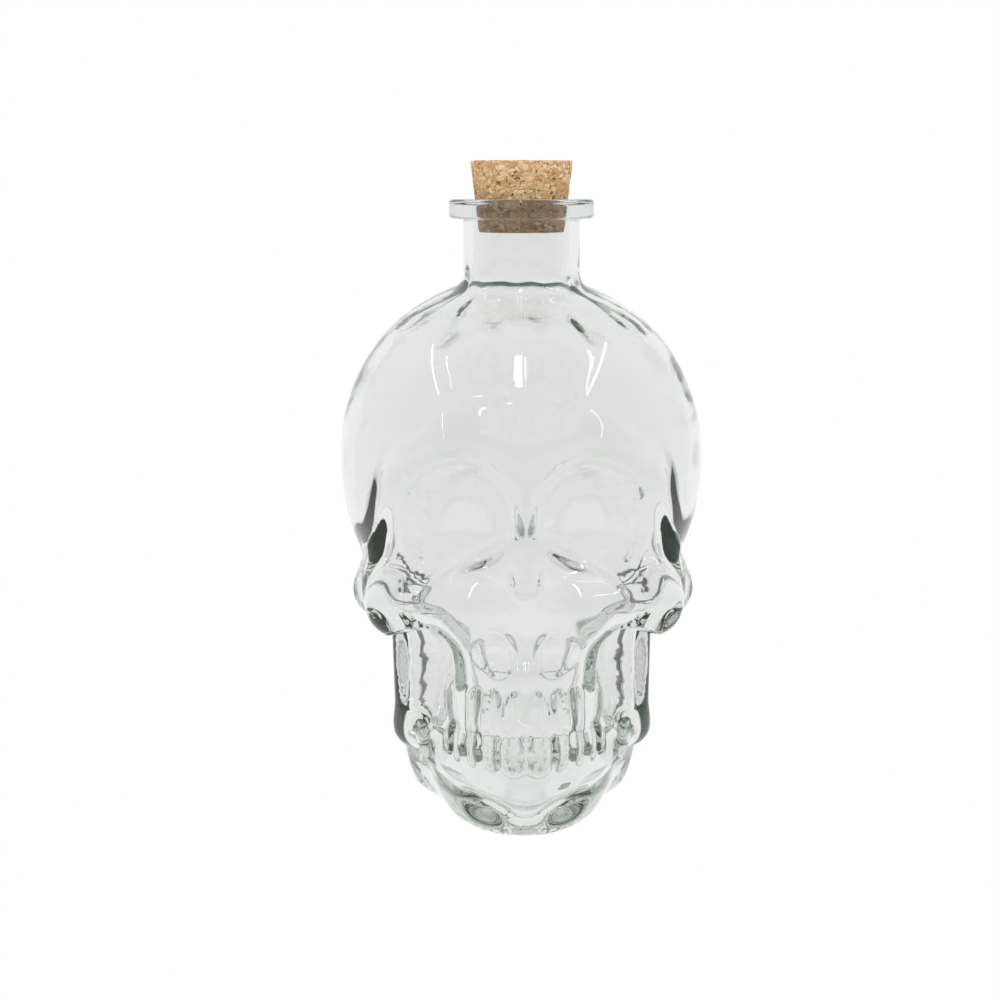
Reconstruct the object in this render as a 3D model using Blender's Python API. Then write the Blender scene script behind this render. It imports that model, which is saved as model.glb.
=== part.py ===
# Skull-shaped glass bottle with a tapered cork stopper.
# Metres, +Z up, the face looks along -Y, origin under the middle of the bottle on the surface it stands on.

import math

import bmesh
import bpy
import numpy as np

# Skull, overall sizes
SKULL_WIDTH = 0.0956
SKULL_DEPTH = 0.1115
SKULL_HEIGHT = 0.1420

# Neck and mouth
NECK_DIAMETER = 0.0302
BORE_DIAMETER = 0.0248
LIP_DIAMETER = 0.0375
LIP_THICKNESS = 0.0049
LIP_ROUND = 0.0010
MOUTH_ROUND = 0.0008
NECK_LENGTH = 0.0198
BOTTLE_HEIGHT = SKULL_HEIGHT + NECK_LENGTH

# Glass walls
SKULL_WALL = 0.0028
JAW_WALL = 0.0030
BASE_WALL = 0.0055
LEAST_WALL = 0.0018

# Cork stopper
CORK_LENGTH = 0.0183
CORK_SHOWING = 0.00985
CORK_TAPER_SHARE = 0.115
CORK_EDGE = 0.0005
CORK_GAP = 0.0003

# Steps of the surfaces
AROUND = 84
INNER_EVERY = 3
CROWN_RINGS = 7
FACE_RINGS = 32
BASE_RINGS = 12
CORK_AROUND = 48
FRONT_PACKING_SHARE = 0.58

# The skull is drawn in shares of half its width, then stretched to its own depth and height
DRAWN_DEPTH_SHARE = 2.333
DRAWN_HEIGHT_SHARE = 2.97

# Braincase: centre, radii with the height above its centre, height below, squareness of its curve
BRAINCASE_SHARE = ((0.0, 0.125, 1.97), (1.0, 1.11, 1.0), 1.06, 2.08)

# Rounded masses: centre, radii, width of the blend into the rest
MASS_SHARES = (
    ((0.00, 0.42, 0.56), (0.70, 0.71, 1.09), 0.29),  # back of the head
    ((0.00, -0.31, 1.67), (0.63, 0.65, 0.63), 0.19),  # upper face
    ((0.00, -0.56, 1.09), (0.36, 0.51, 0.46), 0.13),  # upper jaw
    ((0.00, -0.58, 0.75), (0.38, 0.48, 0.25), 0.08),  # gum of the upper teeth
    ((0.00, -0.54, 0.54), (0.37, 0.47, 0.21), 0.08),  # gum of the lower teeth
    ((0.00, -0.12, 0.43), (0.53, 0.80, 0.60), 0.17),  # floor of the jaw and foot
    ((0.00, -0.84, 0.38), (0.20, 0.23, 0.16), 0.10),  # chin
)

# Ridges of bone: start, end, radius at each, width of the blend
RIDGE_SHARES = (
    ((0.17, -0.84, 0.42), (0.42, -0.52, 0.52), (0.136, 0.130), 0.08),  # side of the lower jaw
    ((0.42, -0.52, 0.52), (0.59, -0.10, 0.50), (0.130, 0.100), 0.06),  # corner of the lower jaw
    ((0.59, -0.12, 0.49), (0.63, 0.04, 1.21), (0.112, 0.100), 0.08),  # rising branch of the jaw
    ((0.29, -0.86, 1.30), (0.65, -0.71, 1.31), (0.167, 0.157), 0.10),  # cheekbone
    ((0.31, -0.82, 1.25), (0.32, -0.80, 0.92), (0.115, 0.094), 0.10),  # root of the cheekbone
    ((0.65, -0.71, 1.31), (0.76, -0.40, 1.34), (0.157, 0.130), 0.08),  # knob of the cheek
    ((0.76, -0.40, 1.34), (0.76, 0.21, 1.32), (0.130, 0.084), 0.08),  # arch behind the cheek
    ((0.76, -0.70, 1.42), (0.70, -0.74, 1.71), (0.060, 0.056), 0.05),  # outer rim of the eye socket
    ((0.70, -0.74, 1.71), (0.62, -0.81, 1.97), (0.056, 0.070), 0.05),  # outer end of the brow
    ((0.13, -0.96, 2.01), (0.34, -0.93, 2.12), (0.088, 0.088), 0.17),  # inner half of the brow
    ((0.34, -0.93, 2.12), (0.59, -0.80, 1.99), (0.088, 0.084), 0.15),  # outer half of the brow
    ((0.00, -0.93, 1.99), (0.00, -0.95, 1.76), (0.115, 0.088), 0.10),  # root of the nose
    ((0.00, -0.95, 1.76), (0.00, -1.00, 1.42), (0.088, 0.105), 0.08),  # nasal bone
)

# Hollows: centre, radii, width of the rounded edge
HOLLOW_SHARES = (
    ((0.40, -1.20, 1.80), (0.26, 0.36, 0.34), 0.110),  # eye socket
    ((0.33, -1.06, 1.68), (0.20, 0.36, 0.17), 0.060),  # its floor beside the nose
    ((0.49, -1.00, 1.66), (0.17, 0.32, 0.14), 0.060),  # its floor by the cheek
    ((0.14, -1.17, 1.12), (0.14, 0.26, 0.15), 0.050),  # nose opening
    ((0.06, -1.17, 1.25), (0.07, 0.20, 0.13), 0.040),  # top of the nose opening
    ((0.51, -0.63, 0.98), (0.15, 0.36, 0.25), 0.063),  # hollow under the cheekbone
    ((0.53, -0.50, 0.75), (0.09, 0.29, 0.19), 0.063),  # hollow before the jaw branch
    ((0.28, -0.95, 0.18), (0.20, 0.28, 0.14), 0.084),  # notch under the jaw
    ((0.00, -1.13, 0.674), (0.36, 0.17, 0.02), 0.025),  # line between the teeth
)
PUNT_SHARE = ((0.0, 0.22, -0.10), (0.36, 0.50, 0.126), 0.03)

# Teeth on one side: place across, half width and depth, then the arch that they stand on
TOOTH_SHARES = ((0.054, 0.054, 0.060), (0.155, 0.052, 0.064), (0.247, 0.050, 0.072), (0.322, 0.048, 0.076),
                (0.372, 0.046, 0.076))
TOOTH_FRONT_SHARE = -1.015
TOOTH_ARCH_SHARE = 2.25
UPPER_TOOTH_SHARE = (0.785, 0.125)
LOWER_TOOTH_SHARE = (0.575, 0.105)
TOOTH_BLEND_SHARE = 0.021

# Where the two sides, the foot and the neck melt into the skull
MIDDLE_SOFT_SHARE = 0.010
FOOT_EDGE_SHARE = 0.10
NECK_ROOT_SHARE = 0.13

# Heights that the surface is drawn from
CROWN_FROM_SHARE = 2.24
JAW_FROM_SHARE = 0.54
NECK_START_SHARE = 0.12
FOOT_SNAP_SHARE = 0.00003


def clear_scene():
    for old in list(bpy.data.objects):
        bpy.data.objects.remove(old, do_unlink=True)


def material(name, colour, roughness, transmission, ior):
    made = bpy.data.materials.new(name)
    made.use_nodes = True
    shader = made.node_tree.nodes["Principled BSDF"]
    shader.inputs["Base Color"].default_value = (*colour, 1.0)
    shader.inputs["Metallic"].default_value = 0.0
    shader.inputs["Roughness"].default_value = roughness
    shader.inputs["Transmission Weight"].default_value = transmission
    shader.inputs["IOR"].default_value = ior
    return made


def blend_in(first, second, width):
    share = np.clip(0.5 + 0.5 * (second - first) / width, 0.0, 1.0)
    return second + (first - second) * share - width * share * (1.0 - share)


def hollow_out(body, hollow, width):
    return -blend_in(-body, hollow, width)


def mass(points, centre, radii, below=None, squareness=2.0):
    away = points - centre
    reach = np.tile(np.array(radii, float), (len(points), 1))
    if below is not None:
        reach[:, 2] = np.where(away[:, 2] < 0.0, below, radii[2])
    scaled = away / reach
    if squareness == 2.0:
        size = np.sqrt((scaled * scaled).sum(axis=1)) + 1e-9
    else:
        size = (np.abs(scaled) ** squareness).sum(axis=1) ** (1.0 / squareness) + 1e-9
    steep = scaled / reach
    return size * (size - 1.0) / (np.sqrt((steep * steep).sum(axis=1)) + 1e-9)


def ridge(points, start, end, radii):
    start = np.array(start)
    along = np.array(end) - start
    share = np.clip((points - start) @ along / (along @ along), 0.0, 1.0)
    gap = np.linalg.norm(points - start - share[:, None] * along, axis=1)
    return gap - radii[0] - (radii[1] - radii[0]) * share


def skull_field(points):
    """Below zero inside the skull, with points in shares of half its width."""
    folded = points.copy()
    folded[:, 0] = np.sqrt(points[:, 0] ** 2 + MIDDLE_SOFT_SHARE ** 2)
    centre, radii, below, squareness = BRAINCASE_SHARE
    field = mass(folded, centre, radii, below, squareness)
    for centre, radii, width in MASS_SHARES:
        field = blend_in(field, mass(folded, centre, radii), width)
    for start, end, radii, width in RIDGE_SHARES:
        field = blend_in(field, ridge(folded, start, end, radii), width)
    for centre, radii, width in HOLLOW_SHARES:
        field = hollow_out(field, mass(folded, centre, radii), width)
    for across, half_width, depth in TOOTH_SHARES:
        front = TOOTH_FRONT_SHARE + TOOTH_ARCH_SHARE * across ** 2
        for height, half_height in (UPPER_TOOTH_SHARE, LOWER_TOOTH_SHARE):
            tooth = mass(folded, (across, front, height), (half_width, depth, half_height))
            field = blend_in(field, tooth, TOOTH_BLEND_SHARE)
    field = hollow_out(field, points[:, 2], FOOT_EDGE_SHARE)
    return hollow_out(field, mass(folded, *PUNT_SHARE[:2]), PUNT_SHARE[2])


def stretch():
    """Metres for one share along each axis."""
    return np.array((SKULL_WIDTH / 2.0, SKULL_DEPTH / DRAWN_DEPTH_SHARE, SKULL_HEIGHT / DRAWN_HEIGHT_SHARE))


def glass_field(points):
    """Skull and neck together, with points in metres from the neck's axis at the foot."""
    share = SKULL_WIDTH / 2.0
    skull = skull_field(points / stretch()) * share
    neck = np.hypot(points[:, 0], points[:, 1]) - NECK_DIAMETER / 2.0
    neck = np.maximum(neck, SKULL_HEIGHT / 2.0 - points[:, 2])
    return blend_in(skull, neck, NECK_ROOT_SHARE * share)


def surface_reach(origins, directions):
    """How far along each ray the outermost skin lies."""
    longest = SKULL_WIDTH / 2.0 + SKULL_DEPTH / 2.0
    steps = 160
    stride = longest / steps
    reach = np.zeros(len(origins))
    waiting = np.arange(len(origins))
    for step in range(steps):
        distance = longest - stride * step
        inside = glass_field(origins[waiting] + directions[waiting] * distance) < 0.0
        reach[waiting[inside]] = distance
        waiting = waiting[~inside]
        if len(waiting) == 0:
            break
    near = reach.copy()
    far = reach + stride
    for _ in range(24):
        middle = (near + far) / 2.0
        inside = glass_field(origins + directions * middle[:, None]) < 0.0
        near = np.where(inside, middle, near)
        far = np.where(inside, far, middle)
    return (near + far) / 2.0


def turn_angles(count, offset=0.0):
    """Angles round the neck's axis from the face, packed closer at the face."""
    turns = (np.arange(count) + offset) / count * 2.0 * math.pi
    return turns - FRONT_PACKING_SHARE * np.sin(turns)


def ray_rings():
    """Height and slope of each ring of rays, from the neck's root to under the foot."""
    up_share = SKULL_HEIGHT / DRAWN_HEIGHT_SHARE
    high = CROWN_FROM_SHARE * up_share
    low = JAW_FROM_SHARE * up_share
    start_rise = SKULL_HEIGHT + NECK_START_SHARE * NECK_DIAMETER - high
    steepest = math.atan2(start_rise, NECK_DIAMETER / 2.0)
    rings = [(high, steepest * (1.0 - (i / CROWN_RINGS) ** 1.3)) for i in range(CROWN_RINGS)]
    for i in range(FACE_RINGS):
        share = i / FACE_RINGS
        rings.append((high + (low - high) * (share + 0.07 * math.sin(math.pi * share)), 0.0))
    for i in range(BASE_RINGS):
        rings.append((low, -math.radians(86.0) * (i / (BASE_RINGS - 1))))
    return rings


def between(rings, place):
    """The ring a fraction of the way from one ring to the next."""
    first = min(int(place), len(rings) - 2)
    share = place - first
    return [a + (b - a) * share for a, b in zip(rings[first], rings[first + 1])]


def ring_rays(rings, angles):
    origins = []
    directions = []
    for height, slope in rings:
        for angle in angles:
            origins.append((0.0, 0.0, height))
            flat = math.cos(slope)
            directions.append((math.sin(angle) * flat, -math.cos(angle) * flat, math.sin(slope)))
    return np.array(origins), np.array(directions)


def soft_reach(rings):
    """Reach of every ray, where the face takes the mean of nine rays so that no ledge comes out ragged."""
    grids = []
    shifts = (-1.0 / 3.0, 0.0, 1.0 / 3.0)
    for rise in shifts:
        for turn in shifts:
            moved = rings
            if rise:
                moved = [between(rings, place + rise) if slope == 0.0 else (height, slope)
                         for place, (height, slope) in enumerate(rings)]
            rays = ring_rays(moved, turn_angles(AROUND, turn))
            grids.append(surface_reach(*rays).reshape(len(rings), AROUND))
    plain = grids[len(grids) // 2]
    level = np.array([[slope == 0.0] for _, slope in rings])
    return np.where(level, np.mean(grids, axis=0), plain)


def pool(grid, up, across, pick):
    """Each place of a grid of rings gets the pick of its neighbours, so many rings up and columns across."""
    tall = np.pad(grid, ((up, up), (0, 0)), mode="edge")
    wide = np.pad(tall, ((0, 0), (across, across)), mode="wrap")
    rows, columns = grid.shape
    return pick([wide[i:i + rows, j:j + columns] for i in range(2 * up + 1) for j in range(2 * across + 1)], axis=0)


def inner_rings(rings, reach, angles):
    """The inner skin, a softened copy of the outer one that keeps the least wall everywhere."""
    soft = pool(reach, 3, 4, np.mean)
    limit = pool(reach, 1, 2, np.min) - LEAST_WALL
    skins = []
    for row in range(1, len(rings) - 1, 2):
        height, slope = rings[row]
        wall = JAW_WALL + (SKULL_WALL - JAW_WALL) * min(1.0, height / SKULL_HEIGHT)
        wall += (BASE_WALL - wall) * max(0.0, -math.sin(slope))
        inner_reach = np.minimum(soft[row] - wall, limit[row])[::INNER_EVERY]
        origins, directions = ring_rays([(height, slope)], angles[::INNER_EVERY])
        skins.append(origins + directions * inner_reach[:, None])
    return skins


def circle(radius, height, angles):
    return np.array([(math.sin(a) * radius, -math.cos(a) * radius, height) for a in angles])


def stitch(bm, first, second):
    """Faces between two rings, the second with as many points or a whole number of times more."""
    step = len(second) // len(first)
    count = len(first)
    for i in range(count):
        following = (i + 1) % count
        fan = [second[(i * step + j) % len(second)] for j in range(step + 1)]
        if step == 1:
            bm.faces.new((first[i], fan[0], fan[1], first[following]))
            continue
        half = (step + 1) // 2
        for j in range(step):
            bm.faces.new((first[i] if j < half else first[following], fan[j], fan[j + 1]))
            if j == half - 1:
                bm.faces.new((first[i], fan[j + 1], first[following]))


def finish_mesh(bm, name, made_of, sharp_angle):
    bmesh.ops.triangulate(bm, faces=[face for face in bm.faces if len(face.verts) > 3])
    bmesh.ops.recalc_face_normals(bm, faces=bm.faces)
    mesh = bpy.data.meshes.new(name)
    bm.to_mesh(mesh)
    bm.free()
    mesh.shade_smooth()
    mesh.set_sharp_from_angle(angle=math.radians(sharp_angle))
    mesh.materials.append(made_of)
    made = bpy.data.objects.new(name, mesh)
    bpy.context.scene.collection.objects.link(made)
    return made


def closed_from_rings(rings, first_tip, last_tip):
    """One closed skin from rings in order, with a point at each end."""
    bm = bmesh.new()
    loops = [[bm.verts.new(point) for point in ring] for ring in rings]
    for first, second in zip(loops, loops[1:]):
        stitch(bm, first, second)
    for loop, tip, last in ((loops[0], first_tip, False), (loops[-1], last_tip, True)):
        middle = bm.verts.new(tip)
        for i, vert in enumerate(loop):
            following = loop[(i + 1) % len(loop)]
            bm.faces.new((vert, middle, following) if last else (following, middle, vert))
    return bm


def neck_profile():
    """Radius and height of the turned neck and lip, from the bore round to the neck's root."""
    bore = BORE_DIAMETER / 2.0
    neck = NECK_DIAMETER / 2.0
    lip = LIP_DIAMETER / 2.0
    under = BOTTLE_HEIGHT - LIP_THICKNESS
    inside = [(bore, SKULL_HEIGHT), (bore, BOTTLE_HEIGHT - MOUTH_ROUND)]
    outside = [
        (bore + MOUTH_ROUND, BOTTLE_HEIGHT),
        (lip - LIP_ROUND, BOTTLE_HEIGHT),
        (lip, BOTTLE_HEIGHT - LIP_ROUND),
        (lip, under + LIP_ROUND),
        (lip - LIP_ROUND, under),
        (neck + LIP_ROUND / 2.0, under),
        (neck, under - LIP_ROUND / 2.0),
    ]
    return inside, outside


def build_bottle(glass):
    angles = turn_angles(AROUND)
    rings = ray_rings()
    origins, directions = ring_rays(rings, angles)
    reach = soft_reach(rings)
    skin = (origins + directions * reach.reshape(-1, 1)).reshape(len(rings), AROUND, 3)
    skin[:, :, 2] = np.where(np.abs(skin[:, :, 2]) < FOOT_SNAP_SHARE * SKULL_HEIGHT, 0.0, skin[:, :, 2])
    inner = inner_rings(rings, reach, angles)
    inside, outside = neck_profile()
    loops = list(reversed(inner))
    loops += [circle(radius, height, angles[::INNER_EVERY]) for radius, height in inside]
    loops += [circle(radius, height, angles) for radius, height in outside]
    loops += list(skin)
    floor = inner[-1][:, 2].mean()
    punt_top = skin[-1][:, 2].mean()
    bm = closed_from_rings(loops, (0.0, 0.0, floor), (0.0, 0.0, punt_top))
    return finish_mesh(bm, "skull_bottle", glass, 40.0)


def build_cork(cork):
    """Turned about its own axis, with its origin where the axis meets its lower face."""
    seat = BORE_DIAMETER / 2.0 - CORK_GAP
    top = seat + CORK_TAPER_SHARE * CORK_SHOWING
    bottom = top - CORK_TAPER_SHARE * CORK_LENGTH
    profile = [
        (top - CORK_EDGE, CORK_LENGTH),
        (top, CORK_LENGTH - CORK_EDGE),
        (bottom, CORK_EDGE),
        (bottom - CORK_EDGE, 0.0),
    ]
    angles = np.arange(CORK_AROUND) / CORK_AROUND * 2.0 * math.pi
    loops = [circle(radius, height, angles) for radius, height in profile]
    bm = closed_from_rings(loops, (0.0, 0.0, CORK_LENGTH), (0.0, 0.0, 0.0))
    made = finish_mesh(bm, "cork_stopper", cork, 30.0)
    made.location.z = BOTTLE_HEIGHT + CORK_SHOWING - CORK_LENGTH
    return made


def centre_on_origin(bottle, cork):
    """Slide both pieces along Y so that the middle of the bottle's depth stands on the origin."""
    depths = [vert.co.y for vert in bottle.data.vertices]
    shift = -(min(depths) + max(depths)) / 2.0
    bottle.location.y = shift
    cork.location.y = shift


def main():
    clear_scene()
    glass = material("clear_glass", (0.93, 0.95, 0.93), 0.02, 1.0, 1.52)
    cork = material("agglomerated_cork", (0.48, 0.33, 0.18), 0.85, 0.0, 1.45)
    bottle = build_bottle(glass)
    stopper = build_cork(cork)
    centre_on_origin(bottle, stopper)


main()
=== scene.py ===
import math

import bpy
import numpy as np
from mathutils import Matrix, Vector, noise


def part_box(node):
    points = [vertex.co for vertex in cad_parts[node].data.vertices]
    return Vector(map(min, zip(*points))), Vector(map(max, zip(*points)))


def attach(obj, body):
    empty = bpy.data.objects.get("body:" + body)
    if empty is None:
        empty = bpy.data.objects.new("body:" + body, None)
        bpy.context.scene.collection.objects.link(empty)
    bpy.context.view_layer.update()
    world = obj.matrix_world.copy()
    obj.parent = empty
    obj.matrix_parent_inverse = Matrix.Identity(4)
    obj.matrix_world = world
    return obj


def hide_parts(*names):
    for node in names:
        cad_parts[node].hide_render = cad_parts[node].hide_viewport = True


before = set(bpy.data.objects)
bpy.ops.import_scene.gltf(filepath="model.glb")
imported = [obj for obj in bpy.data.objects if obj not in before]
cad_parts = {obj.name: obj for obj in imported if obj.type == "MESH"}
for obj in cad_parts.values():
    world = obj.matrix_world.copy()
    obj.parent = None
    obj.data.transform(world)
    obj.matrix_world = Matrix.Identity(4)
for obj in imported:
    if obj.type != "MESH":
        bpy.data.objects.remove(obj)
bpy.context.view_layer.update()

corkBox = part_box("cork_stopper")
neckY = (corkBox[0][1] + corkBox[1][1]) / 2  # the neck's axis, which the cork stands on


def linear(hexCode, alpha=1.0):
    parts = [int(hexCode[i:i + 2], 16) / 255 for i in (1, 3, 5)]
    return tuple(c / 12.92 if c < 0.04045 else ((c + 0.055) / 1.055) ** 2.4 for c in parts) + (alpha,)


def newMaterial(name):
    made = bpy.data.materials.new(name)
    made.use_nodes = True
    made.node_tree.nodes.clear()
    return made


def addNode(made, kind, settings=None, links=None, **values):
    # settings are the node's own fields, links go from socket to (node, output), values set sockets
    node = made.node_tree.nodes.new(kind)
    for field, value in (settings or {}).items():
        setattr(node, field, value)
    for socket, value in values.items():
        node.inputs[socket.replace("_", " ")].default_value = value
    for socket, (source, output) in (links or {}).items():
        made.node_tree.links.new(source.outputs[output], node.inputs[socket])
    return node


# Camera, set from the photograph
cameraView = {
    "target": (0.0, 0.083),  # across and height of the point it looks at
    "distance": 0.540,
    "azimuth": -1.3,
    "elevation": 9.0,
    "lens": 73.48,
    "sensor": 36.0,
    "shiftX": -0.0215,
    "clipStart": 0.01,
}


def addCamera(view):
    azimuth, elevation = math.radians(view["azimuth"]), math.radians(view["elevation"])
    back = Vector((math.sin(azimuth) * math.cos(elevation), -math.cos(azimuth) * math.cos(elevation),
                   math.sin(elevation)))
    camera = bpy.data.objects.new("camera", bpy.data.cameras.new("camera"))
    bpy.context.scene.collection.objects.link(camera)
    camera.data.lens = view["lens"]
    camera.data.sensor_width = view["sensor"]
    camera.data.shift_x = view["shiftX"]
    camera.data.clip_start = view["clipStart"]
    camera.location = Vector((view["target"][0], neckY, view["target"][1])) + back * view["distance"]
    camera.rotation_mode = "QUATERNION"
    camera.rotation_quaternion = (-back).to_track_quat("-Z", "Y")
    bpy.context.scene.camera = camera


addCamera(cameraView)
print("camera set")

# The skull is drawn in shares of half its width, then stretched to its own depth and height
skull = {
    "width": 0.0956,
    "depth": 0.1111,
    "height": 0.1420,
    "drawnDepth": 2.333,
    "drawnHeight": 2.97,
    # centre, radii, height below the centre, squareness
    "braincase": ((0.0, 0.125, 1.97), (1.0, 1.11, 1.0), 1.06, 2.08),
    # centre, radii, width of the blend
    "masses": (
        ((0.00, 0.42, 0.56), (0.70, 0.71, 1.09), 0.29),  # back of the head
        ((0.00, -0.31, 1.67), (0.63, 0.65, 0.63), 0.19),  # upper face
        ((0.00, -0.56, 1.09), (0.36, 0.51, 0.46), 0.13),  # upper jaw
        ((0.00, -0.58, 0.75), (0.38, 0.48, 0.25), 0.08),  # gum of the upper teeth
        ((0.00, -0.54, 0.54), (0.37, 0.47, 0.21), 0.08),  # gum of the lower teeth
        ((0.00, -0.12, 0.43), (0.53, 0.80, 0.60), 0.17),  # floor of the jaw and foot
        ((0.00, -0.84, 0.38), (0.20, 0.23, 0.16), 0.10),  # chin
    ),
    # start, end, radius at each, width of the blend
    "ridges": (
        ((0.17, -0.84, 0.42), (0.42, -0.52, 0.52), (0.136, 0.130), 0.08),  # side of the lower jaw
        ((0.42, -0.52, 0.52), (0.59, -0.10, 0.50), (0.130, 0.100), 0.06),  # corner of the lower jaw
        ((0.59, -0.12, 0.49), (0.63, 0.04, 1.21), (0.112, 0.100), 0.08),  # rising branch of the jaw
        ((0.29, -0.86, 1.30), (0.65, -0.71, 1.31), (0.167, 0.157), 0.10),  # cheekbone
        ((0.31, -0.82, 1.25), (0.32, -0.80, 0.92), (0.115, 0.094), 0.10),  # root of the cheekbone
        ((0.65, -0.71, 1.31), (0.755, -0.40, 1.325), (0.157, 0.122), 0.11),  # knob of the cheek
        ((0.755, -0.40, 1.325), (0.76, 0.21, 1.31), (0.122, 0.084), 0.14),  # arch behind the cheek
        ((0.66, -0.34, 1.46), (0.66, -0.52, 1.46), (0.160, 0.150), 0.12),  # side of the skull above the arch
        ((0.76, -0.58, 1.38), (0.755, -0.60, 1.60), (0.060, 0.054), 0.05),  # outer rim of the eye socket
        ((0.755, -0.60, 1.60), (0.67, -0.70, 1.92), (0.054, 0.050), 0.07),  # outer end of the brow
        ((0.13, -0.85, 1.99), (0.34, -0.83, 2.10), (0.080, 0.070), 0.20),  # inner half of the brow
        ((0.34, -0.83, 2.10), (0.61, -0.74, 1.97), (0.070, 0.070), 0.16),  # outer half of the brow
        ((0.00, -0.89, 1.99), (0.00, -0.94, 1.76), (0.100, 0.088), 0.12),  # root of the nose
        ((0.00, -0.94, 1.76), (0.00, -0.98, 1.46), (0.080, 0.075), 0.05),  # nasal bone
    ),
    # centre, radii, width of the rounded edge
    "hollows": (
        ((0.00, -1.20, 1.19), (0.22, 0.25, 0.24), 0.060),  # nose opening
        ((0.17, -1.13, 1.08), (0.13, 0.25, 0.14), 0.025),  # its two lower lobes
        ((0.51, -0.63, 0.98), (0.15, 0.36, 0.25), 0.080),  # hollow under the cheekbone
        ((0.53, -0.50, 0.75), (0.09, 0.29, 0.19), 0.090),  # hollow before the jaw branch
        ((0.30, -0.95, 0.20), (0.21, 0.28, 0.13), 0.070),  # notch under the jaw
        ((0.00, -1.20, 0.674), (0.36, 0.17, 0.03), 0.030),  # line between the teeth
    ),
    # centre and radii, front end of the ledge beside the nose, its fall outwards and rise inwards in degrees,
    # round of its corner and of the rim
    "eyeSocket": ((0.36, -1.185, 1.70), (0.34, 0.55, 0.42), (0.150, -0.88, 1.660), 33, 8, 0.015, 0.044),
    "punt": ((0.0, 0.22, -0.10), (0.36, 0.50, 0.126), 0.03),
    # teeth: place across, half width and depth, then height and half height of each row
    "teeth": ((0.054, 0.056, 0.046), (0.155, 0.054, 0.052), (0.247, 0.050, 0.072), (0.322, 0.048, 0.082),
              (0.372, 0.046, 0.084)),
    "toothRows": ((0.785, 0.125), (0.575, 0.105)),
    "toothFront": -1.030,
    "toothArch": 2.25,
    "toothBlend": 0.021,
    "middleSoft": 0.010,
    "footEdge": 0.10,
    "neckRoot": 0.07,
    "crownFrom": 2.24,
    "jawFrom": 0.54,
}
neck = {
    "diameter": 0.0302,
    "bore": 0.0248,
    "lip": 0.0375,
    "lipThickness": 0.0049,
    "lipRound": 0.0010,
    "mouthRound": 0.0008,
    "top": 0.1618,
    "start": 0.0036,  # how far above the crown the skull's own rings end
    "boreRings": 12,
    "stemRings": 10,
    "cornerSteps": 6,
}
glassSkin = {
    "around": 384,
    "crownRings": 60,
    "faceRings": 260,
    "baseRings": 70,
    "innerEvery": 3,  # the inner skin has every third ring and point, which meshFromRings counts on
    "frontPacking": 0.45,  # how much closer the points lie on the face than at the back
    "crownEasing": 1.3,
    "faceEasing": 0.07,
    "lastSlope": 87,  # of the rays under the foot, in degrees
    "roughEvery": 4,  # the first, rough walk takes every fourth ring and point
    "roughReach": (2, 2),  # its rings and points over which the outermost one counts
    "roughStride": 0.0012,
    "stride": 0.0010,
    "headStart": 0.0040,  # how far outside the rough skin the fine walk starts
    "halvings": 16,
    "skullWall": 0.0028,
    "jawWall": 0.0030,
    "baseWall": 0.0080,
    "leastWall": 0.0018,
    "soften": 0.0090,  # how far the inner skin is smoothed, in metres
    "settle": 0.0015,
    "meanRadius": 0.045,
    "leastReach": (2, 4),  # rings and points over which the least wall is kept
    "wave": {"deep": 0.00020, "wide": 0.011},
    "fold": {"deep": 0.00160, "wide": 0.0050, "height": 0.138, "reach": 0.012},
    "shoulder": {"deep": 0.0016, "wide": 0.0065, "places": ((-0.0225, -0.024, 0.1315), (0.0225, -0.024, 0.1315))},
    "cliff": 0.0008,  # a step to the next point that counts as a cliff
    "cliffReach": (2, 1),  # rings and points around it that are eased too
    "cliffTurns": 32,
    "seam": 0.00014,  # how far the mould's joint line stands out, front and back
    "flareRings": 9,  # rings each side of the bore's lower end that are rounded into one flare
    "flareTurns": 14,
}


def blendIn(first, second, width):
    share = np.clip(0.5 + 0.5 * (second - first) / width, 0.0, 1.0)
    return second + (first - second) * share - width * share * (1.0 - share)


def hollowOut(body, hollow, width):
    return -blendIn(-body, hollow, width)


def mass(points, centre, radii, below=None, squareness=2.0):
    scaled = (points - np.array(centre, points.dtype)) / np.array(radii, points.dtype)
    if below is not None:
        scaled[:, 2] = np.where(scaled[:, 2] < 0, scaled[:, 2] * radii[2] / below, scaled[:, 2])
    if squareness == 2.0:
        size = np.sqrt((scaled * scaled).sum(axis=1)) + 1e-6
    else:
        size = (np.abs(scaled) ** squareness).sum(axis=1) ** (1.0 / squareness) + 1e-6
    steep = scaled / np.array(radii, points.dtype)
    return size * (size - 1.0) / (np.sqrt((steep * steep).sum(axis=1)) + 1e-6)


def eyeSocket(points, centre, radii, ledge, fall, rise, corner):
    # a smooth bowl, cut off below by the ledge of the cheek and the side of the nose
    fall, rise = math.radians(fall), math.radians(rise)
    up = np.array((math.sin(fall) * math.cos(rise), -math.sin(rise), math.cos(fall) * math.cos(rise)))
    return -blendIn(-mass(points, centre, radii), (points - np.array(ledge)) @ up, corner)


def ridge(points, start, end, radii):
    start = np.array(start)
    along = np.array(end) - start
    share = np.clip((points - start) @ along / (along @ along), 0.0, 1.0)
    gap = np.sqrt(((points - start - share[:, None] * along) ** 2).sum(axis=1))
    return gap - radii[0] - (radii[1] - radii[0]) * share


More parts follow.
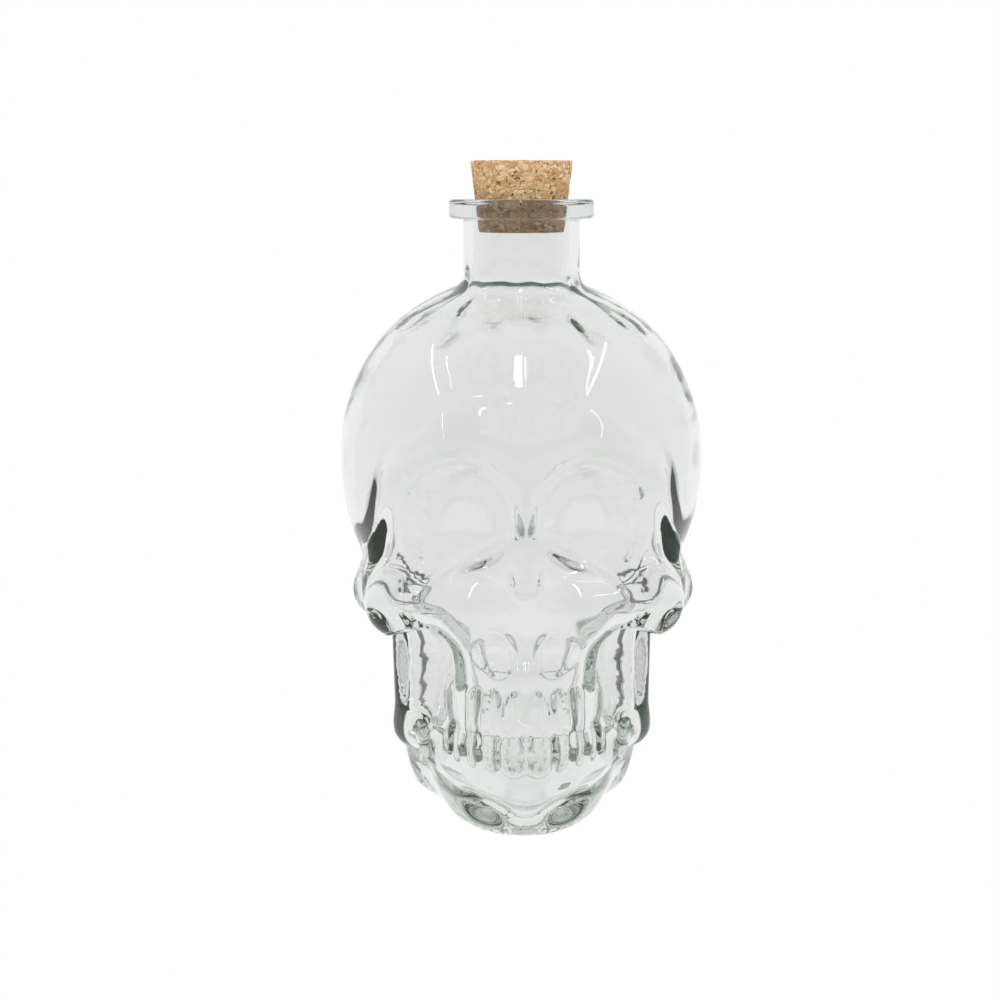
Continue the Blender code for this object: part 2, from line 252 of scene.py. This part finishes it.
def skullField(points):
    # below zero inside the skull
    folded = points.copy()
    folded[:, 0] = np.sqrt(points[:, 0] ** 2 + skull["middleSoft"] ** 2)
    field = mass(folded, *skull["braincase"])
    for centre, radii, width in skull["masses"]:
        field = blendIn(field, mass(folded, centre, radii), width)
    for start, end, radii, width in skull["ridges"]:
        field = blendIn(field, ridge(folded, start, end, radii), width)
    for centre, radii, width in skull["hollows"]:
        field = hollowOut(field, mass(folded, centre, radii), width)
    field = hollowOut(field, eyeSocket(folded, *skull["eyeSocket"][:6]), skull["eyeSocket"][6])
    for across, halfWidth, depth in skull["teeth"]:
        front = skull["toothFront"] + skull["toothArch"] * across ** 2
        for height, halfHeight in skull["toothRows"]:
            tooth = mass(folded, (across, front, height), (halfWidth, depth, halfHeight))
            field = blendIn(field, tooth, skull["toothBlend"])
    field = hollowOut(field, points[:, 2], skull["footEdge"])
    centre, radii, width = skull["punt"]
    return hollowOut(field, mass(folded, centre, radii), width)


def glassField(points):
    # skull and neck together, in metres from the neck's axis at the foot
    share = skull["width"] / 2
    stretch = np.array((share, skull["depth"] / skull["drawnDepth"], skull["height"] / skull["drawnHeight"]))
    body = skullField(points / stretch) * share
    stem = np.hypot(points[:, 0], points[:, 1]) - neck["diameter"] / 2
    stem = np.maximum(stem, skull["height"] / 2 - points[:, 2])
    return blendIn(body, stem, skull["neckRoot"] * share)


def turnAngles(count):
    turns = np.arange(count) / count * 2 * math.pi
    return turns - glassSkin["frontPacking"] * np.sin(turns)


def rayRings(crown, face, base):
    # height and slope of every ring of rays, from the neck's root to under the foot
    up = skull["height"] / skull["drawnHeight"]
    high, low = skull["crownFrom"] * up, skull["jawFrom"] * up
    steepest = math.atan2(skull["height"] + neck["start"] - high, neck["diameter"] / 2)
    rings = [(high, steepest * (1 - (i / crown) ** glassSkin["crownEasing"])) for i in range(crown)]
    for i in range(face):
        share = i / face
        rings.append((high + (low - high) * (share + glassSkin["faceEasing"] * math.sin(math.pi * share)), 0.0))
    rings += [(low, -math.radians(glassSkin["lastSlope"]) * i / (base - 1)) for i in range(base)]
    return np.array(rings)


def ringRays(rings, angles):
    height, slope = np.repeat(rings[:, 0], len(angles)), np.repeat(rings[:, 1], len(angles))
    angle = np.tile(angles, len(rings))
    origins = np.stack((np.zeros_like(height), np.zeros_like(height), height), axis=1)
    flat = np.cos(slope)
    return origins, np.stack((np.sin(angle) * flat, -np.cos(angle) * flat, np.sin(slope)), axis=1)


def surfaceReach(origins, directions, start, stride):
    # walks inwards from the start until it is inside, then halves the last step
    reach = start.copy()
    waiting = np.arange(len(origins))
    while len(waiting):
        inside = glassField(origins[waiting] + directions[waiting] * reach[waiting, None]) < 0
        inside |= reach[waiting] < stride
        waiting = waiting[~inside]
        reach[waiting] -= stride
    near, far = reach, reach + stride
    for _ in range(glassSkin["halvings"]):
        middle = (near + far) / 2
        inside = glassField(origins + directions * middle[:, None]) < 0
        near, far = np.where(inside, middle, near), np.where(inside, far, middle)
    return (near + far) / 2


def soften(grid, angles, rings, span):
    # a mean over about the same real distance everywhere, done as repeated neighbour means
    soft = grid.copy()
    rowStep = np.abs(np.diff(rings[:, 0])).max() + 1e-9
    for _ in range(max(1, int((span / rowStep) ** 2 / 2))):
        tall = np.concatenate((soft[:1], soft, soft[-1:]))
        soft = (tall[:-2] + 2 * soft + tall[2:]) / 4
    stepAround = np.gradient(np.unwrap(angles)) * glassSkin["meanRadius"]
    weight = np.clip((span / stepAround) ** 2 / 2, 1, None)
    for turn in range(int(weight.max())):
        mixed = (np.roll(soft, 1, axis=1) + 2 * soft + np.roll(soft, -1, axis=1)) / 4
        soft = np.where(turn < weight, mixed, soft)
    return soft


def easeCliffs(skin, reach):
    # where the surface drops away behind a ridge, each point moves to the middle of its neighbours
    steep = np.abs(np.diff(reach, axis=1, append=reach[:, :1]))
    steep = np.maximum(steep, np.roll(steep, 1, axis=1))
    share = np.clip(-leastAround(-steep, *glassSkin["cliffReach"]) / glassSkin["cliff"] - 1, 0, 1)[1:-1, :, None]
    for _ in range(glassSkin["cliffTurns"]):
        sides = (np.roll(skin, 1, axis=1) + np.roll(skin, -1, axis=1))[1:-1]
        skin[1:-1] += share * ((skin[:-2] + skin[2:] + sides) / 4 - skin[1:-1])
    return skin


def leastAround(grid, up, across):
    tall = np.pad(grid, ((up, up), (0, 0)), mode="edge")
    rows = len(grid)
    grid = np.min([tall[i:i + rows] for i in range(2 * up + 1)], axis=0)
    return np.min([np.roll(grid, turn, axis=1) for turn in range(-across, across + 1)], axis=0)


def circle(radius, height, angles):
    return np.stack((np.sin(angles) * radius, -np.cos(angles) * radius, np.full(len(angles), height)), axis=1)


def roundCorner(middleR, middleZ, radius, startTurn, endTurn):
    steps = neck["cornerSteps"]
    turns = [math.radians(startTurn + (endTurn - startTurn) * i / steps) for i in range(steps + 1)]
    return [(middleR + radius * math.cos(t), middleZ + radius * math.sin(t)) for t in turns]


def neckProfile():
    bore, stem, lip, top = neck["bore"] / 2, neck["diameter"] / 2, neck["lip"] / 2, neck["top"]
    under, lipR, mouthR = top - neck["lipThickness"], neck["lipRound"], neck["mouthRound"]
    low = skull["height"] + neck["start"]
    boreRings, stemRings = neck["boreRings"], neck["stemRings"]
    inside = [(bore, low + (top - mouthR - low) * i / boreRings) for i in range(boreRings + 1)]
    outside = roundCorner(bore + mouthR, top - mouthR, mouthR, 180, 90)
    outside += roundCorner(lip - lipR, top - lipR, lipR, 90, 0)
    outside += roundCorner(lip - lipR, under + lipR, lipR, 0, -90)
    outside += roundCorner(stem + lipR / 2, under - lipR / 2, lipR / 2, 90, 180)
    foot = under - lipR / 2
    outside += [(stem, foot + (low - foot) * i / stemRings) for i in range(1, stemRings)]
    return inside, outside


def meshFromRings(name, loops, firstTip, lastTip):
    # rings may change their count once, to three times as many
    points, faces, starts = [], [], []
    for loop in loops:
        starts.append(sum(len(p) for p in points))
        points.append(np.asarray(loop))
    for k in range(len(loops) - 1):
        n, m = len(loops[k]), len(loops[k + 1])
        a, b = starts[k], starts[k + 1]
        i = np.arange(n)
        j = (i + 1) % n
        if n == m:
            faces += np.stack((a + i, b + i, b + j, a + j), axis=1).tolist()
        else:
            faces += np.stack((a + i, b + 3 * i, b + 3 * i + 1), axis=1).tolist()
            faces += np.stack((a + i, b + 3 * i + 1, b + (3 * i + 2) % m, a + j), axis=1).tolist()
            faces += np.stack((a + j, b + (3 * i + 2) % m, b + (3 * j) % m), axis=1).tolist()
    total = sum(len(p) for p in points)
    points.append(np.array((firstTip, lastTip)))
    n, last, m = len(loops[0]), starts[-1], len(loops[-1])
    faces += [((i + 1) % n, total, i) for i in range(n)]
    faces += [(last + i, total + 1, last + (i + 1) % m) for i in range(m)]
    mesh = bpy.data.meshes.new(name)
    mesh.from_pydata(np.concatenate(points).tolist(), [], faces)
    mesh.shade_smooth()
    made = bpy.data.objects.new(name, mesh)
    bpy.context.scene.collection.objects.link(made)
    return made


def unevenness(points):
    # the inside of blown glass is never quite even, least of all where the shoulder folds into the neck
    wave, fold, thick = glassSkin["wave"], glassSkin["fold"], glassSkin["shoulder"]
    out = np.empty(len(points))
    for i, point in enumerate(points.tolist()):
        place = Vector(point)
        near = max(0.0, 1.0 - abs(point[2] - fold["height"]) / fold["reach"])
        out[i] = wave["deep"] * (1 + noise.noise(place / wave["wide"]))
        out[i] += fold["deep"] * near * (1 + noise.noise(place / fold["wide"]))
    for place in thick["places"]:
        out += thick["deep"] * np.exp(-((points - np.array(place)) ** 2).sum(axis=1) / thick["wide"] ** 2)
    return out


def buildGlass():
    spec = glassSkin
    every = spec["roughEvery"]
    coarse = rayRings(spec["crownRings"] // every, spec["faceRings"] // every, spec["baseRings"] // every)
    coarseAngles = turnAngles(spec["around"] // every)
    rays = ringRays(coarse, coarseAngles)
    longest = (skull["width"] + skull["depth"]) / 2
    rough = surfaceReach(*rays, np.full(len(rays[0]), longest), spec["roughStride"]).reshape(len(coarse), -1)
    rings = rayRings(spec["crownRings"], spec["faceRings"], spec["baseRings"])
    angles = turnAngles(spec["around"])
    most = -leastAround(-rough, *spec["roughReach"])
    rows = np.clip(np.round(np.arange(len(rings)) * len(coarse) / len(rings)).astype(int), 0, len(coarse) - 1)
    columns = (np.arange(len(angles)) // every) % len(coarseAngles)
    start = most[rows][:, columns].ravel() + spec["headStart"]
    origins, directions = ringRays(rings, angles)
    reach = surfaceReach(origins, directions, start, spec["stride"]).reshape(len(rings), -1)
    half = len(angles) // 2
    seamed = reach.copy()
    seamed[:, (0, half)] += spec["seam"]
    skin = (origins + directions * seamed.reshape(-1, 1)).reshape(len(rings), -1, 3)
    skin = easeCliffs(skin, reach)
    skin[:, :, 2] = np.maximum(skin[:, :, 2], 0.0)
    height = rings[:, 0] / skull["height"]
    wall = spec["jawWall"] + (spec["skullWall"] - spec["jawWall"]) * np.minimum(1, height)
    wall += (spec["baseWall"] - wall) * np.maximum(0, -np.sin(rings[:, 1]))
    soft = soften(reach, angles, rings, spec["soften"]) - wall[:, None]
    least = leastAround(reach, *spec["leastReach"]) - spec["leastWall"]
    inner = soften(np.minimum(soft, least), angles, rings, spec["settle"])
    inner -= unevenness(origins + directions * inner.reshape(-1, 1)).reshape(inner.shape)
    third = spec["innerEvery"]
    inner = inner[1::third, ::third]
    innerRays = ringRays(rings[1::third], angles[::third])
    innerSkin = (innerRays[0] + innerRays[1] * inner.reshape(-1, 1)).reshape(len(inner), -1, 3)
    inside, outside = neckProfile()
    loops = list(innerSkin[::-1])
    joint = len(loops)
    loops += [circle(r, z, angles[::third]) for r, z in inside]
    for _ in range(spec["flareTurns"]):
        held = np.array(loops)
        near = slice(joint - spec["flareRings"], joint + spec["flareRings"])
        mean = (held[:-2] + 2 * held[1:-1] + held[2:]) / 4
        loops[near] = list(mean[near.start - 1:near.stop - 1])
    loops += [circle(r, z, angles) for r, z in outside]
    loops += list(skin)
    tips = ((0, 0, innerSkin[-1][:, 2].mean()), (0, 0, skin[-1][:, 2].mean()))
    made = meshFromRings("blownGlassSkull", loops, *tips)
    made.location.y = neckY
    return made


# Soda-lime glass blown in a two-part mould: colourless in thin walls, grey-green where light runs along it
glassLook = {
    "tint": "#F5F5F5",
    "ior": 1.52,
    "roughness": 0.0,
    "inner": "#C5CEC6",  # what is left of white light after a long way through the glass
    "density": 30.0,
}


def blownGlass(look):
    made = newMaterial("blownGlass")
    shader = addNode(made, "ShaderNodeBsdfPrincipled", Base_Color=linear(look["tint"]), Transmission_Weight=1.0,
                     IOR=look["ior"], Roughness=look["roughness"])
    absorb = addNode(made, "ShaderNodeVolumeAbsorption", Color=linear(look["inner"]), Density=look["density"])
    addNode(made, "ShaderNodeOutputMaterial", links={"Surface": (shader, 0), "Volume": (absorb, 0)})
    return made


glass = buildGlass()
glass.data.materials.append(blownGlass(glassLook))
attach(glass, "bottle")
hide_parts("skull_bottle")
print("glass made", len(glass.data.polygons))

# Agglomerated cork: ground granules of bark pressed with a binder and turned to a taper, so it is warm tan
# and matt, every granule its own shade, with dark seams between them, torn pits and a few pale flakes
corkShape = {
    "seed": 7,  # another number gives another cork, and each number the same cork in every run
    "around": 288,
    "sideRings": 100,
    "topRings": 34,
    "footRings": 10,
    "edgeSteps": 6,
    "footShare": 0.955,  # of the foot's radius, where its flat ends
    "taper": 0.115,
    "edge": 0.0005,
    "side": 0.0180,  # below the top, as far as granules stand back from the surface
    "grain": 0.00165,  # width of a granule
    "flat": 1.45,  # how much wider than tall they lie
    "bend": (0.7, 0.45),  # how often and how far their outlines wander
    "seamWidth": 0.16,
    "seam": 0.00013,  # depth between granules
    "step": 0.00012,  # how far one granule stands back from the next
    "torn": (0.0024, 0.33, 3.0),  # size of the torn places, how rare and how abrupt they are
    "chip": 0.00045,  # their depth at the rim
    "chipShare": 0.35,  # of that depth away from the rim
    "rimReach": (0.0012, 0.0025),  # how far down and inwards the rim's own chips go
    "tornSeam": 1.2,
}
corkLook = {
    "tans": ("#CCA474", "#E0B886", "#ECC798", "#E3BE8D", "#D8AD7C", "#F6D8AD"),
    "seam": "#8A6238",
    "seamFrom": 0.25,
    "seamShare": 0.70,
    "speck": "#6E4A28",
    "speckSize": 0.0009,
    "speckRange": (0.60, 0.68),  # of the noise, from no speck to a full one
    "fibre": 0.00035,
    "fibreRange": (0.30, 0.70),
    "fibreShades": (0.72, 1.15),
    "fibreDepth": 0.00025,
    "bump": 0.6,
    "roughness": 0.85,
}


def corkProfile():
    spec = corkShape
    top, foot = corkBox[1][2], corkBox[0][2]
    wide, edge = (corkBox[1][0] - corkBox[0][0]) / 2, spec["edge"]
    narrow = wide - spec["taper"] * (top - foot)
    rings = [(narrow * i / spec["footRings"] * spec["footShare"], foot) for i in range(1, spec["footRings"] + 1)]
    turns = [math.radians(90 * i / spec["edgeSteps"]) for i in range(spec["edgeSteps"] + 1)]
    rings += [(narrow - edge + edge * math.sin(t), foot + edge - edge * math.cos(t)) for t in turns]
    for i in range(1, spec["sideRings"]):
        share = i / spec["sideRings"]
        rings.append((narrow + (wide - narrow) * share, foot + edge + (top - foot - 2 * edge) * share))
    rings += [(wide - edge + edge * math.cos(t), top - edge + edge * math.sin(t)) for t in turns]
    steps = spec["topRings"]
    return rings + [((wide - edge) * (1 - i / steps), top) for i in range(1, steps)]


def grainAt(place):
    # how near a seam this is, the granule's own number from 0 to 1, and how torn the cork is here
    often, far = corkShape["bend"]
    size, rare, abrupt = corkShape["torn"]
    cell = Vector((place.x, place.y, place.z * corkShape["flat"])) / corkShape["grain"]
    cell += noise.noise_vector(cell * often) * far
    gaps, seeds = noise.voronoi(cell)
    seam = max(0.0, 1 - (gaps[1] - gaps[0]) / corkShape["seamWidth"])
    own = 0.5 + 0.5 * noise.cell(seeds[0] * 7.3)  # any factor will do that tells the granules apart
    return seam, own, max(0.0, noise.noise(place / size) - rare) * abrupt


def corkSkin():
    # the points of every ring with their seam and grain values, from the foot's middle up to the top's
    spec = corkShape
    top, wide = corkBox[1][2], corkBox[1][0]
    down, across = spec["rimReach"]
    noise.seed_set(spec["seed"])
    points, seams, grains = [], [], []
    for radius, height in corkProfile():
        rim = max(0.0, 1 - (top - height) / down) * max(0.0, 1 - abs(radius - wide) / across)
        for i in range(spec["around"]):
            turn = 2 * math.pi * i / spec["around"]
            out = Vector((math.sin(turn), -math.cos(turn), 0))
            place = Vector((0, neckY, height)) + out * radius
            seam, grain, torn = grainAt(place)
            depth = spec["seam"] * seam + spec["step"] * grain + spec["chip"] * torn * (spec["chipShare"] + rim)
            inward = -out if 0 < top - height < spec["side"] else Vector((0, 0, 0))
            if height > top - spec["edge"]:
                inward = (inward + Vector((0, 0, -1))).normalized()
            points.append(place + inward * depth)
            seams.append(min(1.0, seam + torn * spec["tornSeam"]))
            grains.append(grain)
    points += [Vector((0, neckY, corkBox[0][2])), Vector((0, neckY, top))]
    return points, seams + [0.0, 0.0], grains + [0.5, 0.5]


def buildCork():
    count = corkShape["around"]
    points, seams, grains = corkSkin()
    rings = (len(points) - 2) // count
    faces = []
    for row in range(rings - 1):
        for i in range(count):
            j = (i + 1) % count
            faces.append((row * count + i, row * count + j, (row + 1) * count + j, (row + 1) * count + i))
    last = (rings - 1) * count
    faces += [((i + 1) % count, i, len(points) - 2) for i in range(count)]
    faces += [(last + i, last + (i + 1) % count, len(points) - 1) for i in range(count)]
    mesh = bpy.data.meshes.new("groundCork")
    mesh.from_pydata(points, [], faces)
    mesh.shade_smooth()
    for name, values in (("seam", seams), ("grain", grains)):
        mesh.attributes.new(name, "FLOAT", "POINT").data.foreach_set("value", values)
    made = bpy.data.objects.new("groundCork", mesh)
    bpy.context.scene.collection.objects.link(made)
    return made


def agglomeratedCork(look):
    made = newMaterial("agglomeratedCork")
    coords = addNode(made, "ShaderNodeTexCoord")
    grain = addNode(made, "ShaderNodeAttribute", {"attribute_name": "grain"})
    seam = addNode(made, "ShaderNodeAttribute", {"attribute_name": "seam"})
    tans = addNode(made, "ShaderNodeValToRGB", links={"Fac": (grain, "Fac")})
    tans.color_ramp.interpolation = "CONSTANT"
    for i, tan in enumerate(look["tans"]):
        place = i / len(look["tans"])
        stop = tans.color_ramp.elements[i] if i < 2 else tans.color_ramp.elements.new(place)
        stop.position, stop.color = place, linear(tan)
    # the bark's own fibre, mottled inside every granule
    low, high = look["fibreRange"]
    darkest, palest = look["fibreShades"]
    fibre = addNode(made, "ShaderNodeTexNoise", links={"Vector": (coords, "Object")},
                    Scale=1 / look["fibre"], Detail=4.0)
    shade = addNode(made, "ShaderNodeMapRange", links={"Value": (fibre, 0)},
                    From_Min=low, From_Max=high, To_Min=darkest, To_Max=palest)
    mottled = addNode(made, "ShaderNodeVectorMath", {"operation": "SCALE"}, {0: (tans, 0), "Scale": (shade, 0)})
    # small dark bits of bark between the granules
    none, full = look["speckRange"]
    specks = addNode(made, "ShaderNodeTexNoise", links={"Vector": (coords, "Object")},
                     Scale=1 / look["speckSize"], Detail=2.0)
    dark = addNode(made, "ShaderNodeMapRange", links={"Value": (specks, 0)}, From_Min=none, From_Max=full)
    specked = addNode(made, "ShaderNodeMix", {"data_type": "RGBA"}, {0: (dark, 0), 6: (mottled, 0)})
    specked.inputs[7].default_value = linear(look["speck"])
    lined = addNode(made, "ShaderNodeMapRange", links={"Value": (seam, "Fac")},
                    From_Min=look["seamFrom"], To_Max=look["seamShare"])
    seamed = addNode(made, "ShaderNodeMix", {"data_type": "RGBA"}, {0: (lined, 0), 6: (specked, 2)})
    seamed.inputs[7].default_value = linear(look["seam"])
    bump = addNode(made, "ShaderNodeBump", links={"Height": (fibre, 0)},
                   Strength=look["bump"], Distance=look["fibreDepth"])
    shader = addNode(made, "ShaderNodeBsdfPrincipled", links={"Base Color": (seamed, 2), "Normal": (bump, 0)},
                     Roughness=look["roughness"])
    addNode(made, "ShaderNodeOutputMaterial", links={"Surface": (shader, 0)})
    return made


cork = buildCork()
cork.data.materials.append(agglomeratedCork(corkLook))
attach(cork, "cork")
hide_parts("cork_stopper")
print("cork made", len(cork.data.polygons))

# Studio lamps, placed from where they glint in the photograph: azimuth from the face and height in degrees
lamps = {
    "distance": 1.5,
    "radiance": 9.0,
    "ends": {
        "leftTube": ((-68, 38), (-118, 49), 0.022),
        "rightTube": ((51, 42), (116, 51), 0.030),
        "topPanel": ((-2, 53), (-2, 76), 0.110),
        "lowDash": ((-32, 37), (-26, 38), 0.025),
        "midDash": ((-11, 42), (-7, 42), 0.020),
    },
}


def lampPlace(turn, rise):
    turn, rise = math.radians(turn), math.radians(rise)
    flat = Vector((math.sin(turn), -math.cos(turn), 0)) * math.cos(rise)
    return (flat + Vector((0, 0, math.sin(rise)))) * lamps["distance"] + Vector((0, 0, skull["height"] / 2))


def addLamps():
    for name, (start, end, width) in lamps["ends"].items():
        start, end = lampPlace(*start), lampPlace(*end)
        lamp = bpy.data.objects.new(name, bpy.data.lights.new(name, "AREA"))
        bpy.context.scene.collection.objects.link(lamp)
        lamp.data.shape = "RECTANGLE"
        lamp.data.size, lamp.data.size_y = (end - start).length, width
        lamp.data.energy = lamps["radiance"] * math.pi * lamp.data.size * width
        along = (end - start).normalized()
        away = (start + end).normalized()
        across = away.cross(along).normalized()
        lamp.matrix_world = Matrix((along, across, along.cross(across))).transposed().to_4x4()
        lamp.location = (start + end) / 2


addLamps()
print("lamps set")

# White sweep and soft light
stageLook = {
    "floor": "#FFFFFF",
    "size": 3.0,
    "room": 0.45,  # how bright the room on the camera's side is in the glass, beside the white backdrop
    "roomEdge": (-0.65, 0.45),  # where that starts and ends, from straight to the camera at -1 to straight away at 1
    "bounces": 48,
}


def whiteStage():
    half = stageLook["size"] / 2
    corners = [(-half, -half, 0), (half, -half, 0), (half, half, 0), (-half, half, 0)]
    floor = bpy.data.objects.new("floor", bpy.data.meshes.new("floor"))
    floor.data.from_pydata(corners, [], [(0, 1, 2, 3)])
    bpy.context.scene.collection.objects.link(floor)
    made = newMaterial("whitePaper")
    path = addNode(made, "ShaderNodeLightPath")
    seen = addNode(made, "ShaderNodeMath", {"operation": "MAXIMUM"},
                   {0: (path, "Is Camera Ray"), 1: (path, "Is Transmission Ray")})
    seen = addNode(made, "ShaderNodeMath", {"operation": "MAXIMUM"}, {0: (seen, 0), 1: (path, "Is Glossy Ray")})
    paper = addNode(made, "ShaderNodeBsdfDiffuse", Color=linear(stageLook["floor"]))
    glow = addNode(made, "ShaderNodeEmission", Strength=1.0)
    both = addNode(made, "ShaderNodeMixShader", links={0: (seen, 0), 1: (paper, 0), 2: (glow, 0)})
    addNode(made, "ShaderNodeOutputMaterial", links={"Surface": (both, 0)})
    floor.data.materials.append(made)


def studioWorld():
    # the white backdrop wraps behind the bottle, and the room on the camera's side is dimmer in the glass
    world = bpy.data.worlds.new("studio")
    bpy.context.scene.world = world
    world.use_nodes = True
    start, end = stageLook["roomEdge"]
    toward = addNode(world, "ShaderNodeTexCoord")
    toward = addNode(world, "ShaderNodeSeparateXYZ", links={0: (toward, "Generated")})
    room = addNode(world, "ShaderNodeMapRange", {"interpolation_type": "SMOOTHSTEP"}, {"Value": (toward, "Y")},
                   From_Min=start, From_Max=end, To_Min=stageLook["room"], To_Max=1.0)
    path = addNode(world, "ShaderNodeLightPath")
    even = addNode(world, "ShaderNodeMath", {"operation": "MAXIMUM"}, {0: (room, 0), 1: (path, "Is Diffuse Ray")})
    even = addNode(world, "ShaderNodeMath", {"operation": "MAXIMUM"}, {0: (even, 0), 1: (path, "Is Camera Ray")})
    background = world.node_tree.nodes["Background"]
    background.inputs["Color"].default_value = (1, 1, 1, 1)
    world.node_tree.links.new(even.outputs[0], background.inputs["Strength"])


whiteStage()
studioWorld()
bpy.context.scene.view_settings.view_transform = "Standard"
# light runs a long way along the inside of a glass wall before it comes out
for kind in ("max_bounces", "glossy_bounces", "transmission_bounces"):
    setattr(bpy.context.scene.cycles, kind, stageLook["bounces"])
print("stage made")
